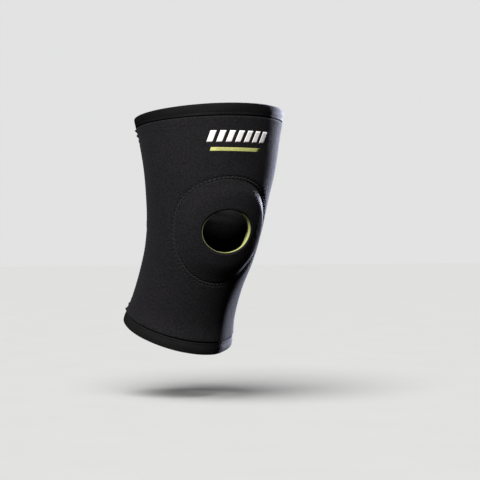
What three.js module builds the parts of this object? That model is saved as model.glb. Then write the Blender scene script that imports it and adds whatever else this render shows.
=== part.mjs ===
import * as THREE from 'three';

// A pull-on knee brace in the form that it takes when worn on a slightly bent right leg.
// Millimetres, +Z up, -Y to the front, +X to the inner side of the leg.
// The origin is the middle of the leg on the slanted section through the middle of the kneecap hole.

// Heights of the cloth above and below the middle of the kneecap hole
const heightAboveKnee = 118.7;
const heightBelowKnee = 118.7;

// Radii of the outer face, from the upper edge down to the lower one
const thighRadius = 82.3;
const kneeRadius = 63;
const shinRadius = 57.8;
const calfRadius = 62.2;

// Run of the leg through the brace: how far behind and beside the knee each edge's middle lies
const thighSetback = 5.5;
const calfSetback = 53;
const thighSideShift = 7.4;
const calfSideShift = -11.6;

// Slant of the two edges in degrees, front to back and side to side
const thighTilt = 5.2;
const calfTilt = -18.8;
const thighLean = -1.1;
const calfLean = 6.5;

// Cloth, and the tape folded over its two raw edges, which presses the cloth thinner
const wall = 4;
const clearance = 0.3;
const tapeWidth = 10;
const tapeThickness = 1;
const tapePinch = 0.8;
const pinchSlope = 2;

// Kneecap hole and the round field over the pad, as half sizes along the curved front
const holeHalfWidth = 27.2;
const holeHalfHeight = 20.9;
const fieldHalfWidth = 59.5;
const fieldHalfHeight = 51.3;

// Ring pad under the cloth: how far it lifts the cloth and sinks towards the leg
const padRise = 3;
const padSink = 2.4;
const padShoulder = 10;
const padRimThickness = 0.9;
const lipThickness = 1.2;
const lipHeight = 0.2;

// Sections of the leg's form. up runs from -1 at the lower edge to 1 at the upper edge. calf, shin, knee
// and thigh are shares of the four radii, none where a row leaves one out. back and side are shares of
// the setback and side shift on the row's side of the knee. oval, egg and square are shares of the
// radius: longer front to back, pointed at the front, and bulged at the front, back and sides.
const sections = [
  { up: -1.00, calf: 1.00, back: 1.00, side: 1.00, oval: 0.030, egg: 0.003, square: 0.005 },
  { up: -0.75, calf: 0.16, shin: 0.84, back: 0.74, side: 0.81, oval: 0.023, egg: 0.004, square: 0.002 },
  { up: -0.50, shin: 1.00, back: 0.45, side: 0.55, oval: 0.018, egg: 0.009, square: 0.000 },
  { up: -0.25, shin: 0.56, knee: 0.44, back: 0.17, side: 0.21, oval: 0.008, egg: 0.009, square: -0.005 },
  { up: 0.00, knee: 1.00, back: 0.00, side: 0.00, oval: 0.000, egg: 0.011, square: -0.008 },
  { up: 0.25, knee: 0.81, thigh: 0.19, back: -0.60, side: 0.20, oval: 0.000, egg: 0.006, square: -0.008 },
  { up: 0.50, knee: 0.56, thigh: 0.44, back: -0.60, side: 0.48, oval: -0.002, egg: -0.004, square: -0.006 },
  { up: 0.75, knee: 0.29, thigh: 0.71, back: -0.03, side: 0.73, oval: 0.006, egg: 0.001, square: 0.000 },
  { up: 1.00, thigh: 1.00, back: 1.00, side: 1.00, oval: 0.014, egg: 0.005, square: 0.004 },
];

// Mesh steps
const frontSteps = 18;
const backSteps = 36;
const fieldRows = 12;
const edgeRows = 4;
const shoulderSteps = 4;
const padTopSteps = 3;
const outerFieldSteps = 2;
const fieldMargin = 6;

const { cos, sin, hypot, atan2, min, PI } = Math;
const { lerp, clamp, smoothstep, degToRad } = THREE.MathUtils;

// One row of the section table in millimetres
function station(row) {
  const below = row.up < 0;
  const radius = thighRadius * (row.thigh ?? 0) + kneeRadius * (row.knee ?? 0)
    + shinRadius * (row.shin ?? 0) + calfRadius * (row.calf ?? 0);
  return {
    level: row.up * (below ? heightBelowKnee : heightAboveKnee),
    radius,
    setback: row.back * (below ? calfSetback : thighSetback),
    sideShift: row.side * (below ? calfSideShift : thighSideShift),
    oval: row.oval,
    egg: row.egg,
    square: row.square,
  };
}

const stations = sections.map(station);
const columns = ['radius', 'setback', 'sideShift', 'oval', 'egg', 'square'];
const sectionCurve = new THREE.CubicInterpolant(
  stations.map((entry) => entry.level),
  stations.flatMap((entry) => columns.map((column) => entry[column])),
  columns.length,
);

// The leg's section at a level, smooth between the rows of the table
function sectionAt(level) {
  const values = sectionCurve.evaluate(clamp(level, -heightBelowKnee, heightAboveKnee));
  return Object.fromEntries(columns.map((column, index) => [column, values[index]]));
}

// A point of the brace. around is the angle from the front towards +X, level the height of the
// section's middle, and outward the distance out from the cloth's outer face.
function surfacePoint(around, level, outward) {
  const { radius, setback, sideShift, oval, egg, square } = sectionAt(level);
  const share = (level + heightBelowKnee) / (heightAboveKnee + heightBelowKnee);
  const tilt = degToRad(lerp(calfTilt, thighTilt, share));
  const lean = degToRad(lerp(calfLean, thighLean, share));
  const form = 1 + oval * cos(2 * around) + egg * cos(3 * around) + square * cos(4 * around);
  const reach = radius * form + outward;
  const across = reach * sin(around);
  const deep = -reach * cos(around);
  return new THREE.Vector3(
    sideShift + across * cos(lean),
    setback + deep * cos(tilt),
    level - across * sin(lean) - deep * sin(tilt),
  );
}

// Height of the shoulder over the pad: 0 at the rim of the field, 1 once past the shoulder
function shoulderHeight(around, level) {
  const fromMiddle = hypot((around * kneeRadius) / fieldHalfWidth, level / fieldHalfHeight);
  return smoothstep((1 - fromMiddle) * fieldHalfWidth, 0, padShoulder);
}

// Depth to which the tape presses each face of the cloth, fading out past the tape
function pinchDepth(level) {
  const fromEdge = min(heightAboveKnee - level, level + heightBelowKnee);
  return tapePinch * (1 - smoothstep(fromEdge, tapeWidth, tapeWidth + pinchSlope));
}

const padLift = (around, level) => padRise * shoulderHeight(around, level);
const clothFace = (around, level) => padLift(around, level) - pinchDepth(level);
const clothBack = (around, level) => padLift(around, level) - wall + pinchDepth(level);
const padFace = (around, level) => clothBack(around, level) - clearance;
const padBack = (around, level) =>
  -wall - clearance - lerp(padRimThickness, padSink, shoulderHeight(around, level));
const lipTop = (around, level) => clothFace(around, level) + lipHeight;

// Points and triangles of one closed body
class Body {
  points = [];
  triangles = [];

  addPoint(point) {
    return this.points.push(point) - 1;
  }

  addQuad(a, b, c, d) {
    this.triangles.push(a, b, c, a, c, d);
  }

  // Joins two closed rings that have as many points each
  join(first, second) {
    first.forEach((point, index) => {
      const next = (index + 1) % first.length;
      this.addQuad(point, first[next], second[next], second[index]);
    });
  }

  geometry() {
    const geometry = new THREE.BufferGeometry().setFromPoints(this.points);
    geometry.setIndex(this.triangles);
    geometry.computeVertexNormals();
    return geometry;
  }
}

// Whole numbers from 0 up to a count
const indices = (count) => Array.from({ length: count }, (_, index) => index);

// Even steps from one value to the next, without the last value
const steps = (from, to, count) => indices(count).map((index) => lerp(from, to, index / count));

// Grid lines of the tube. The front and middle ones mark a patch that holds the round field.
const patchAngle = (fieldHalfWidth + fieldMargin) / kneeRadius;
const patchHeight = fieldHalfHeight + fieldMargin;
const pinchReach = tapeWidth + pinchSlope;
const aroundLines = [
  ...steps(-patchAngle, patchAngle, frontSteps),
  ...steps(patchAngle, 2 * PI - patchAngle, backSteps),
];
const levelLines = [
  -heightBelowKnee,
  tapeWidth - heightBelowKnee,
  ...steps(pinchReach - heightBelowKnee, -patchHeight, edgeRows),
  ...steps(-patchHeight, patchHeight, fieldRows),
  ...steps(patchHeight, heightAboveKnee - pinchReach, edgeRows),
  heightAboveKnee - pinchReach,
  heightAboveKnee - tapeWidth,
  heightAboveKnee,
];
const firstPatchRow = levelLines.indexOf(-patchHeight);
const lastPatchRow = firstPatchRow + fieldRows;

// Column and row of each grid corner on the patch's border, from its lower left corner to the right
const patchBorder = [
  ...indices(frontSteps).map((index) => [index, firstPatchRow]),
  ...indices(fieldRows).map((index) => [frontSteps, firstPatchRow + index]),
  ...indices(frontSteps).map((index) => [frontSteps - index, lastPatchRow]),
  ...indices(fieldRows).map((index) => [0, lastPatchRow - index]),
];
const borderPlaces = patchBorder.map(([column, row]) => [aroundLines[column], levelLines[row]]);
const ringAngles = borderPlaces.map(([around, level]) =>
  atan2(level / fieldHalfHeight, (around * kneeRadius) / fieldHalfWidth));

// Places on an oval around the kneecap's middle, one for each corner of the patch's border
function ovalPlaces(halfWidth, halfHeight) {
  return ringAngles.map((angle) => [(halfWidth * cos(angle)) / kneeRadius, halfHeight * sin(angle)]);
}

// Oval rings from the rim of the field down its shoulder and over the pad to the hole
const shoulderShare = 1 - padShoulder / fieldHalfWidth;
const shoulderRings = steps(1, shoulderShare, shoulderSteps).map((share) =>
  ovalPlaces(share * fieldHalfWidth, share * fieldHalfHeight));
const padTopRings = steps(0, 1, padTopSteps).map((share) => ovalPlaces(
  lerp(shoulderShare * fieldHalfWidth, holeHalfWidth, share),
  lerp(shoulderShare * fieldHalfHeight, holeHalfHeight, share),
));
const holeRing = ovalPlaces(holeHalfWidth, holeHalfHeight);
const outerRings = steps(0, 1, outerFieldSteps).slice(1).map((share) =>
  borderPlaces.map(([around, level], index) => [
    lerp(around, shoulderRings[0][index][0], share),
    lerp(level, shoulderRings[0][index][1], share),
  ]));

// Adds a ring of points, each at its place and as far out as outward says
function addRing(body, places, outward) {
  return places.map(([around, level]) =>
    body.addPoint(surfacePoint(around, level, outward(around, level))));
}

// Adds one face of the cloth and returns its upper and lower edge and the edge of the hole
function addClothFace(body, outward, turned) {
  const addQuad = (a, b, c, d) => (turned ? body.addQuad(a, d, c, b) : body.addQuad(a, b, c, d));
  const insidePatch = (column, row) => column > 0 && column < frontSteps
    && row > firstPatchRow && row < lastPatchRow;
  const grid = levelLines.map((level, row) => aroundLines.map((around, column) =>
    (insidePatch(column, row) ? null : addRing(body, [[around, level]], outward)[0])));

  for (let row = 0; row < levelLines.length - 1; row += 1) {
    for (let column = 0; column < aroundLines.length; column += 1) {
      const inPatch = column < frontSteps && row >= firstPatchRow && row < lastPatchRow;
      const next = (column + 1) % aroundLines.length;
      if (!inPatch) {
        addQuad(grid[row][column], grid[row][next], grid[row + 1][next], grid[row + 1][column]);
      }
    }
  }

  const rings = [...outerRings, ...shoulderRings, ...padTopRings, holeRing]
    .map((places) => addRing(body, places, outward));
  rings.unshift(patchBorder.map(([column, row]) => grid[row][column]));
  for (let ring = 0; ring < rings.length - 1; ring += 1) {
    const pair = turned ? [rings[ring + 1], rings[ring]] : [rings[ring], rings[ring + 1]];
    body.join(...pair);
  }
  return { upper: grid.at(-1), lower: grid[0], hole: rings.at(-1) };
}

// The neoprene tube: its knitted outer face, its inner face, and the three cut edges between them
function sleeveGeometry() {
  const body = new Body();
  const face = addClothFace(body, clothFace, false);
  const back = addClothFace(body, clothBack, true);
  body.join(face.upper, back.upper);
  body.join(back.lower, face.lower);
  body.join(face.hole, back.hole);
  return body.geometry();
}

// The ring pad under the cloth, with a thin lip that lines the edge of the hole
function kneecapPadGeometry() {
  const body = new Body();
  const [, ...innerShoulderRings] = shoulderRings;
  const padRings = [...innerShoulderRings, ...padTopRings];
  const lipOutside = ovalPlaces(holeHalfWidth - clearance, holeHalfHeight - clearance);
  const lipReach = clearance + lipThickness;
  const lipInside = ovalPlaces(holeHalfWidth - lipReach, holeHalfHeight - lipReach);
  const profile = [
    ...padRings.map((places) => addRing(body, places, padFace)),
    addRing(body, lipOutside, padFace),
    addRing(body, lipOutside, lipTop),
    addRing(body, lipInside, lipTop),
    addRing(body, lipInside, padBack),
    ...padRings.toReversed().map((places) => addRing(body, places, padBack)),
  ];
  profile.forEach((ring, index) => body.join(ring, profile[(index + 1) % profile.length]));
  return body.geometry();
}

// Tape folded over a raw edge of the cloth: a ring with a U-shaped section, closed towards the edge
function bindingGeometry(edgeLevel, direction) {
  const faceSide = clearance - tapePinch;
  const backSide = tapePinch - wall - clearance;
  const outside = faceSide + tapeThickness;
  const inside = backSide - tapeThickness;
  const fold = clearance + tapeThickness;
  const bevel = tapeThickness / 2;
  const section = [
    { outward: outside, past: -tapeWidth },
    { outward: outside, past: 0 },
    { outward: outside, past: fold - bevel },
    { outward: outside - bevel, past: fold },
    { outward: inside + bevel, past: fold },
    { outward: inside, past: fold - bevel },
    { outward: inside, past: 0 },
    { outward: inside, past: -tapeWidth },
    { outward: backSide, past: -tapeWidth },
    { outward: backSide, past: 0 },
    { outward: backSide, past: clearance },
    { outward: faceSide, past: clearance },
    { outward: faceSide, past: 0 },
    { outward: faceSide, past: -tapeWidth },
  ];
  const body = new Body();
  const rings = section.map(({ outward, past }) => addRing(
    body,
    aroundLines.map((around) => [around, edgeLevel + direction * past]),
    () => outward,
  ));
  if (direction < 0) rings.reverse();
  rings.forEach((ring, index) => body.join(ring, rings[(index + 1) % rings.length]));
  return body.geometry();
}

const cloth = new THREE.MeshStandardMaterial({ color: 0x1d1c20, roughness: 0.9, metalness: 0 });
const padFoam = new THREE.MeshStandardMaterial({ color: 0xb4c657, roughness: 0.75, metalness: 0 });
const tape = new THREE.MeshStandardMaterial({ color: 0x18191b, roughness: 0.7, metalness: 0 });

function piece(name, geometry, material) {
  const mesh = new THREE.Mesh(geometry, material);
  mesh.name = name;
  return mesh;
}

const kneeBrace = new THREE.Group();
kneeBrace.add(
  piece('sleeve', sleeveGeometry(), cloth),
  piece('kneecap_pad', kneecapPadGeometry(), padFoam),
  piece('thigh_binding', bindingGeometry(heightAboveKnee, 1), tape),
  piece('calf_binding', bindingGeometry(-heightBelowKnee, -1), tape),
);

export default kneeBrace;
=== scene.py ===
import math

import bpy
import numpy as np
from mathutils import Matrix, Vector


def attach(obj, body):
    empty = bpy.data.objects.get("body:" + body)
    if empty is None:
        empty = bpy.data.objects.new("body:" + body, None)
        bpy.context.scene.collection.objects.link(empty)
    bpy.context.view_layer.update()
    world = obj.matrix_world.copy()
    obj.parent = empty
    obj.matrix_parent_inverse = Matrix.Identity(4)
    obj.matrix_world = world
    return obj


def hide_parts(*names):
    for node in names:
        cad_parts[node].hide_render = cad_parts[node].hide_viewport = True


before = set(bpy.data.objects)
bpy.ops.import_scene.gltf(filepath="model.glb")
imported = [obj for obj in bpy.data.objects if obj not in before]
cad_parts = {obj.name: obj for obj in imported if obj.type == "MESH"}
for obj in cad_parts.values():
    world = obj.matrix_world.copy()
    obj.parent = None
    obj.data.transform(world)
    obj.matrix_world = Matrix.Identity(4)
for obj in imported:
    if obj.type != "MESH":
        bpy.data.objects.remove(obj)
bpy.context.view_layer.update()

MM = 0.001

# Form of the worn leg, the same as the solids have: millimetres and degrees
HEIGHT_ABOVE_KNEE = 118.7
HEIGHT_BELOW_KNEE = 118.7
THIGH_RADIUS = 82.3
KNEE_RADIUS = 63.0
SHIN_RADIUS = 57.8
CALF_RADIUS = 62.2
THIGH_SETBACK = 5.5
CALF_SETBACK = 53.0
THIGH_SIDE_SHIFT = 7.4
CALF_SIDE_SHIFT = -11.6
THIGH_TILT = 5.2
CALF_TILT = -18.8
THIGH_LEAN = -1.1
CALF_LEAN = 6.5

# Cloth, edge tape and pad
WALL = 4.0
CLEARANCE = 0.3
TAPE_WIDTH = 10.0
TAPE_THICKNESS = 1.0
TAPE_PINCH = 0.8
PINCH_SLOPE = 2.0
HOLE_HALF_WIDTH = 27.2
HOLE_HALF_HEIGHT = 20.9
FIELD_HALF_WIDTH = 59.5
FIELD_HALF_HEIGHT = 51.3
PAD_RISE = 3.0
PAD_SINK = 2.4
PAD_SHOULDER = 10.0
PAD_RIM_THICKNESS = 0.9
PAD_RIM_INSET = 0.6

# Sections of the leg's form, from the lower edge (-1) through the knee (0) to the upper edge (1).
# calf, shin, knee and thigh are shares of the four radii, back and side shares of the setback and side
# shift on the row's side of the knee, oval, egg and square shares of the radius.
SECTIONS = [
    dict(up=-1.00, calf=1.00, back=1.00, side=1.00, oval=0.030, egg=0.003, square=0.005),
    dict(up=-0.75, calf=0.16, shin=0.84, back=0.74, side=0.81, oval=0.023, egg=0.004, square=0.002),
    dict(up=-0.50, shin=1.00, back=0.45, side=0.55, oval=0.018, egg=0.009, square=0.000),
    dict(up=-0.25, shin=0.56, knee=0.44, back=0.17, side=0.21, oval=0.008, egg=0.009, square=-0.005),
    dict(up=0.00, knee=1.00, back=0.00, side=0.00, oval=0.000, egg=0.011, square=-0.008),
    dict(up=0.25, knee=0.81, thigh=0.19, back=-0.60, side=0.20, oval=0.000, egg=0.006, square=-0.008),
    dict(up=0.50, knee=0.56, thigh=0.44, back=-0.60, side=0.48, oval=-0.002, egg=-0.004, square=-0.006),
    dict(up=0.75, knee=0.29, thigh=0.71, back=-0.03, side=0.73, oval=0.006, egg=0.001, square=0.000),
    dict(up=1.00, thigh=1.00, back=1.00, side=1.00, oval=0.014, egg=0.005, square=0.004),
]

# Sewing
FIELD_STITCH_WIDTH = 2.8
FIELD_STITCH_LENGTH = 2.2
FIELD_GROOVE_DEPTH = 0.5
FIELD_GROOVE_WIDTH = 2.2
FIELD_THREAD = 0.45
FIELD_THREAD_RISE = 0.10
SEAM_ANGLE = -110.5
SEAM_WIDTH = 5.0
SEAM_DIP = 0.25
SEAM_LINE_DEPTH = 0.5
SEAM_LINE_WIDTH = 1.0
SEAM_STITCH_LENGTH = 2.0
SEAM_END_GAP = 1.0
SEAM_THREAD = 0.5
SEAM_THREAD_RISES = (0.15, 0.05)
TAPE_STITCH_INSET = 2.2
TAPE_STITCH_LENGTH = 3.0
TAPE_STITCH_GAP = 0.05
TAPE_THREAD = 0.36
TAPE_THREAD_RISE = -0.1
NEEDLE_DENT = 1.2
NEEDLE_DENT_RADIUS = 0.75
STITCH_RINGS = 7
THREAD_SIDES = 6
THREAD_TIP = 0.72

# Gathers of the cloth at the two ends of the closing seam
GATHER_DEPTH = 2.2
GATHER_REACH = 12.0
GATHER_WIDTH = 5.0
GATHER_PERIOD = 6.4
GATHER_START = 0.5
GATHER_FULL = 2.5

# Shape of the tape's fold. A row of its rounded rim is an inset from the tape's edge and a drop.
TAPE_CROWN = 0.25
TAPE_GROOVE = 0.15
TAPE_GROOVE_WIDTH = 1.0
TAPE_CORNER = 2.2
TAPE_SQUARENESS = 0.75
TAPE_RIM = ((0.0, 0.55), (0.12, 0.2))
TAPE_RIM_INSET = 0.5
TAPE_FACE_FLOOR = -1.5
TAPE_FACE_LENGTH = 13.0
TAPE_PUCKER = 0.10
TAPE_PUCKER_WIDTH = 1.6
TAPE_WAVE = 0.08
TAPE_WAVES = [
    dict(count=9, share=1.0, phase=0.0, slant=0.6),
    dict(count=17, share=0.7, phase=1.3, slant=-0.4),
]

# Shape of the pad's lip. The bounds are sines, or cosines for the lean, of the angle round the hole.
LIP_SINK = -0.6
LIP_SINK_ABOVE = -4.7
LIP_SINK_FROM = 0.85
LIP_TUCK = 2.0
LIP_TUCK_FROM = 0.86
LIP_UNDER = 0.97
LIP_THIN = 0.7
LIP_WALL = 3.2
LIP_LEAN = 0.6
LIP_LEAN_ANGLE = 38.0
LIP_LEAN_FROM = 0.2
LIP_LEAN_FULL = 0.9
BACK_SLOPE = 7.5
BACK_CURVE = 0.8

# Swelling of the foam beside the tapes
THIGH_SWELL = 0.7
CALF_SWELL = 0.9
SWELL_START = 0.2
SWELL_TOP = 1.8
SWELL_REACH = 8.0

# Shape of the field's shoulder as the stretched cloth draws it
CRISP_ANGLE = 12.0
CRISP_FROM = -0.1
CRISP_FULL = 0.75
CRISP_RISE = 4.4
CRISP_START = 4.5
CRISP_END = 13.6
CRISP_ROUNDING = 0.16
CRISP_DIP = 1.3
CRISP_DIP_INSET = 2.5
CRISP_DIP_WIDTH = 2.5
LOW_SHOULDER = 24.0

# The flatter inner side of the shin, felt through the cloth
SHIN_FLAT_ANGLE = 42.0
SHIN_FLAT_REACH = 26.0
SHIN_FLAT_DEPTH = 1.6
SHIN_FLAT_START = 42.0
SHIN_FLAT_FULL = 80.0

# Folds behind the knee. middle is the angle from straight behind, reach the angle to either side.
FOLD_WIDTH = 3.4
FOLD_WAVE = 2.5
FOLD_WAVE_RATE = 2.3
FOLD_BULGE = 0.6
FOLD_BULGE_PLACE = 6.46
FOLD_BULGE_WIDTH = 4.42
KNEE_FOLDS = [
    dict(level=14.0, slant=5.0, middle=-8.0, reach=38.0, depth=1.5),
    dict(level=-4.0, slant=-4.0, middle=6.0, reach=46.0, depth=2.0),
    dict(level=-25.0, slant=6.0, middle=12.0, reach=34.0, depth=1.3),
    dict(level=34.0, slant=-7.0, middle=14.0, reach=26.0, depth=0.8),
    dict(level=-47.0, slant=-5.0, middle=-12.0, reach=26.0, depth=0.7),
]

# Print on the thigh, in lengths around the leg at the knee's radius and up it
PRINT_HEIGHT = 0.14
PATCH_STEPS = 9
BAR_COUNT = 7
BAR_START = -27.0
BAR_WIDTH = 5.2
BAR_GAP = 3.2
BAR_SLANT = 3.6
BAR_LOW = 83.8
BAR_HIGH = 94.6
LINE_CORNERS = ((-24.0, 75.6), (26.5, 75.6), (27.6, 79.0), (-22.9, 79.0))

# Colours, a darker and a lighter one where there are two
JERSEY = ("#111113", "#242327")
JERSEY_RIB = "#171719"
# Paler colour on the pad's shoulder: a painted highlight, partly the opened knit
JERSEY_STRETCHED_HIGHLIGHT = "#343437"
JERSEY_SHEEN = "#c9c9dc"
LIME_FOAM = ("#8b9456", "#a9af73")
LIME_PORE = "#6a7334"
LIP_OLIVE = "#5c5a45"
# The thigh and calf tapes are one black tape: the thigh's darker copy is painted shade, the calf's lighter
# copy painted light
THIGH_TAPE_SHADED = ("#090a0b", "#131416")
CALF_TAPE_LIT = ("#0f1011", "#1b1c1d")
GREY_THREAD = ("#19181b", "#2f2e32")
BLACK_THREAD = ("#080809", "#121214")
PRINT_WHITE = ("#e6e6e8", "#f2f2f4")
PRINT_LIME = ("#9fa561", "#c2c67c")
FLOOR_PAINT = ("#c6c6c5", "#cbcbca")

# Pattern sizes as drawn, in millimetres. A wave of scale one is 0.314 long.
WAVE_UNIT = math.pi / 10
JERSEY_WALE = 1.9
JERSEY_COURSE = 1.5
JERSEY_GRAIN = 1.5625
JERSEY_PATCH = 25.0
FOAM_PORE = 1.1111
FOAM_PATCH = 6.25
TAPE_RIB = 1.4
TAPE_GRAIN = 2.0
THREAD_TWIST = 0.7
THREAD_TWIST_ANGLE = 35.0
PRINT_GRAIN = 1.4286
FLOOR_GRAIN = 83.333

# Strength of some patterns, as shares
RIB_SHARE = 0.4
DYE_FADE_SHARE = 0.45
LOOP_RELIEF = 0.12
STRETCH_SMOOTHING = -0.14

# Where the cloth is stretched most and the painted highlight lies: cosines of the angle, and distances in
# from the field's rim
STRETCH_HIGHLIGHT_SIDE = (0.6, 0.9)
STRETCH_HIGHLIGHT_TOP = (16.0, 11.0)
STRETCH_HIGHLIGHT_FOOT = (3.5, 6.5)

# Studio
FLOOR_LEVEL = -0.19
FLOOR_SIZE = 14.0
BACKDROP_COLOUR = "#e2e3e2"
AIR_COLOUR = "#dcdde4"
AIR_STRENGTH = 0.04
BRACE_LAMPS = [
    dict(name="soft_key_lamp",
         azimuth=-41.0, elevation=42.0, strength=6.6, softness=12.0, colour="#fffaf4"),
    dict(name="rim_lamp",
         azimuth=126.5, elevation=5.0, strength=10.8, softness=14.0, colour="#e2e5fc"),
    dict(name="high_rim_lamp",
         azimuth=131.5, elevation=32.0, strength=8.6, softness=14.0, colour="#e2e5fc"),
]
FLOOR_LAMP = dict(
    name="floor_lamp", azimuth=-41.0, elevation=64.0, strength=4.6, softness=50.0, colour="#ffffff")

# Mesh steps
FRONT_STEPS = 112
BACK_STEPS = 112
FIELD_ROWS = 100
EDGE_ROWS = 24
ROW_GROWTH = 1.6
PINCH_ROWS = 4
TAPE_ROWS = 8
OUTER_FIELD_RINGS = 9
RING_CROWDING = 1.5
SHOULDER_RINGS = 22
PAD_TOP_RINGS = 12
FIELD_MARGIN = 6.0
RIM_STEPS = 4000
TAPE_STEPS = 300
TAPE_FACE_ROWS = 22
TAPE_FOLD_ROWS = 17
TAPE_BACK_ROWS = 14
PAD_STEPS = 280
PAD_SHOULDER_ROWS = 14
PAD_FLAT_ROWS = 10
LIP_SIDE_ROWS = 5
LIP_TOP_ROWS = 9
LIP_WALL_ROWS = 7

# Rows of the pad's section over which the darker top of the lip ends
DARK_TOP_FROM = PAD_SHOULDER_ROWS + PAD_FLAT_ROWS + LIP_SIDE_ROWS + 2
DARK_TOP_TO = DARK_TOP_FROM + 3

# Camera
CAMERA_LENS = 110.0
SENSOR_WIDTH = 36.0
IMAGE_SIZE = 480
CAMERA_AZIMUTH = -21.9
CAMERA_ELEVATION = -0.46
CAMERA_DISTANCE = 1.6
LEG_MIDDLE_PIXEL = (205.85, 225.04)
LEG_MIDDLE = Vector((0.0, -0.0027, 0.0))


# Form of the leg
def section_values():
    """Levels of the section table's rows and the values at them, in millimetres."""
    rows = []
    for row in SECTIONS:
        below = row["up"] < 0
        radius = (
            THIGH_RADIUS * row.get("thigh", 0) + KNEE_RADIUS * row.get("knee", 0)
            + SHIN_RADIUS * row.get("shin", 0) + CALF_RADIUS * row.get("calf", 0)
        )
        rows.append([
            row["up"] * (HEIGHT_BELOW_KNEE if below else HEIGHT_ABOVE_KNEE),
            radius,
            row["back"] * (CALF_SETBACK if below else THIGH_SETBACK),
            row["side"] * (CALF_SIDE_SHIFT if below else THIGH_SIDE_SHIFT),
            row["oval"],
            row["egg"],
            row["square"],
        ])
    table = np.array(rows)
    return table[:, 0], table[:, 1:]


LEVELS, VALUES = section_values()
SLOPES = np.gradient(VALUES, LEVELS, axis=0)


def sections_at(level):
    """The table's values at each level, on a smooth curve through its rows."""
    inside = np.clip(level, LEVELS[0], LEVELS[-1])
    row = np.clip(np.searchsorted(LEVELS, inside, side="right") - 1, 0, len(LEVELS) - 2)
    step = LEVELS[row + 1] - LEVELS[row]
    t = ((inside - LEVELS[row]) / step)[..., None]
    slope_a = SLOPES[row] * step[..., None]
    slope_b = SLOPES[row + 1] * step[..., None]
    rise = VALUES[row + 1] - VALUES[row]
    curve = VALUES[row] + t * slope_a
    curve = curve + t**2 * (3 * rise - 2 * slope_a - slope_b)
    return curve + t**3 * (slope_a + slope_b - 2 * rise)


def bell(distance, width):
    return np.exp(-((distance / width) ** 2))


def shin_flat(around, level):
    """How much nearer to the middle the flatter inner side of the shin lies."""
    turn = signed_angle(around - np.radians(SHIN_FLAT_ANGLE)) / np.radians(SHIN_FLAT_REACH)
    across = 0.5 + 0.5 * np.cos(np.pi * np.clip(turn, -1, 1))
    return SHIN_FLAT_DEPTH * across * smooth_step(-level, SHIN_FLAT_START, SHIN_FLAT_FULL)


def surface_points(around, level, outward):
    """Points in metres. around is the angle from the front towards +X, level the height of the
    section's middle and outward the distance out from the cloth's face."""
    around, level, outward = np.broadcast_arrays(
        np.asarray(around, float), np.asarray(level, float), np.asarray(outward, float))
    values = sections_at(level)
    radius, setback, side_shift, oval, egg, square = np.moveaxis(values, -1, 0)
    share = (level + HEIGHT_BELOW_KNEE) / (HEIGHT_ABOVE_KNEE + HEIGHT_BELOW_KNEE)
    tilt = np.radians(CALF_TILT + (THIGH_TILT - CALF_TILT) * share)
    lean = np.radians(CALF_LEAN + (THIGH_LEAN - CALF_LEAN) * share)
    form = 1 + oval * np.cos(2 * around) + egg * np.cos(3 * around) + square * np.cos(4 * around)
    reach = radius * form + outward - shin_flat(around, level)
    across = reach * np.sin(around)
    deep = -reach * np.cos(around)
    return MM * np.stack([
        side_shift + across * np.cos(lean),
        setback + deep * np.cos(tilt),
        level - across * np.sin(lean) - deep * np.sin(tilt),
    ], axis=-1)


def smooth_step(value, low, high):
    """From 0 at the low value to 1 at the high one, level at both."""
    t = np.clip((value - low) / (high - low), 0, 1)
    return t * t * (3 - 2 * t)


def from_rim(around, level):
    """Distance in from the rim of the round field, below nothing outside it."""
    to_middle = np.hypot(around * KNEE_RADIUS / FIELD_HALF_WIDTH, level / FIELD_HALF_HEIGHT)
    return (1 - to_middle) * FIELD_HALF_WIDTH


def field_angle(around, level):
    """Angle round the field's middle, from the inner side of the knee upwards."""
    return np.arctan2(level / FIELD_HALF_HEIGHT, around * KNEE_RADIUS / FIELD_HALF_WIDTH)


def crisp_share(angle):
    """From 0 to 1, how crisp the field's shoulder is at an angle round its middle."""
    return smooth_step(np.cos(angle - np.radians(CRISP_ANGLE)), CRISP_FROM, CRISP_FULL)


def from_edge(level):
    """Distance along the leg from the nearer edge of the cloth."""
    return np.minimum(HEIGHT_ABOVE_KNEE - level, level + HEIGHT_BELOW_KNEE)


def pinch_depth(level):
    """Depth to which the edge tape presses each face of the cloth."""
    return TAPE_PINCH * (1 - smooth_step(from_edge(level), TAPE_WIDTH, TAPE_WIDTH + PINCH_SLOPE))


def hem_swell(level):
    """How far the foam swells out beside the tape that pinches it."""
    from_tape = from_edge(level) - TAPE_WIDTH
    rise = smooth_step(from_tape, SWELL_START, SWELL_TOP)
    fall = bell(np.maximum(from_tape - SWELL_TOP, 0), SWELL_REACH)
    return np.where(level > 0, THIGH_SWELL, CALF_SWELL) * rise * fall


def rounded_ramp(share, rounding):
    """A straight slope from 0 to 1 with rounded ends."""
    def area(value):
        inside = np.clip(value, 0, 1)
        return inside**2 / 2 + np.maximum(value - 1, 0)
    return (area(share + rounding) - area(share - rounding)) / (2 * rounding)


def pad_lift(around, level):
    """Height to which the pad lifts the cloth. The shoulder is crisp where the cloth pulls across
    it on the inner side of the knee, and long and low on the outer side."""
    inwards = from_rim(around, level)
    slope = (inwards - CRISP_START) / (CRISP_END - CRISP_START)
    crisp = CRISP_RISE * rounded_ramp(slope, CRISP_ROUNDING)
    low = PAD_RISE * smooth_step(inwards, 0, LOW_SHOULDER)
    return low + (crisp - low) * crisp_share(field_angle(around, level))


def signed_angle(angle):
    """An angle in radians, brought to between half a turn back and half a turn on."""
    return (angle + np.pi) % (2 * np.pi) - np.pi


def walk_along(across, up):
    """Length walked along a line of points to each of them."""
    return np.concatenate([[0], np.cumsum(np.hypot(np.diff(across), np.diff(up)))])


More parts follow.
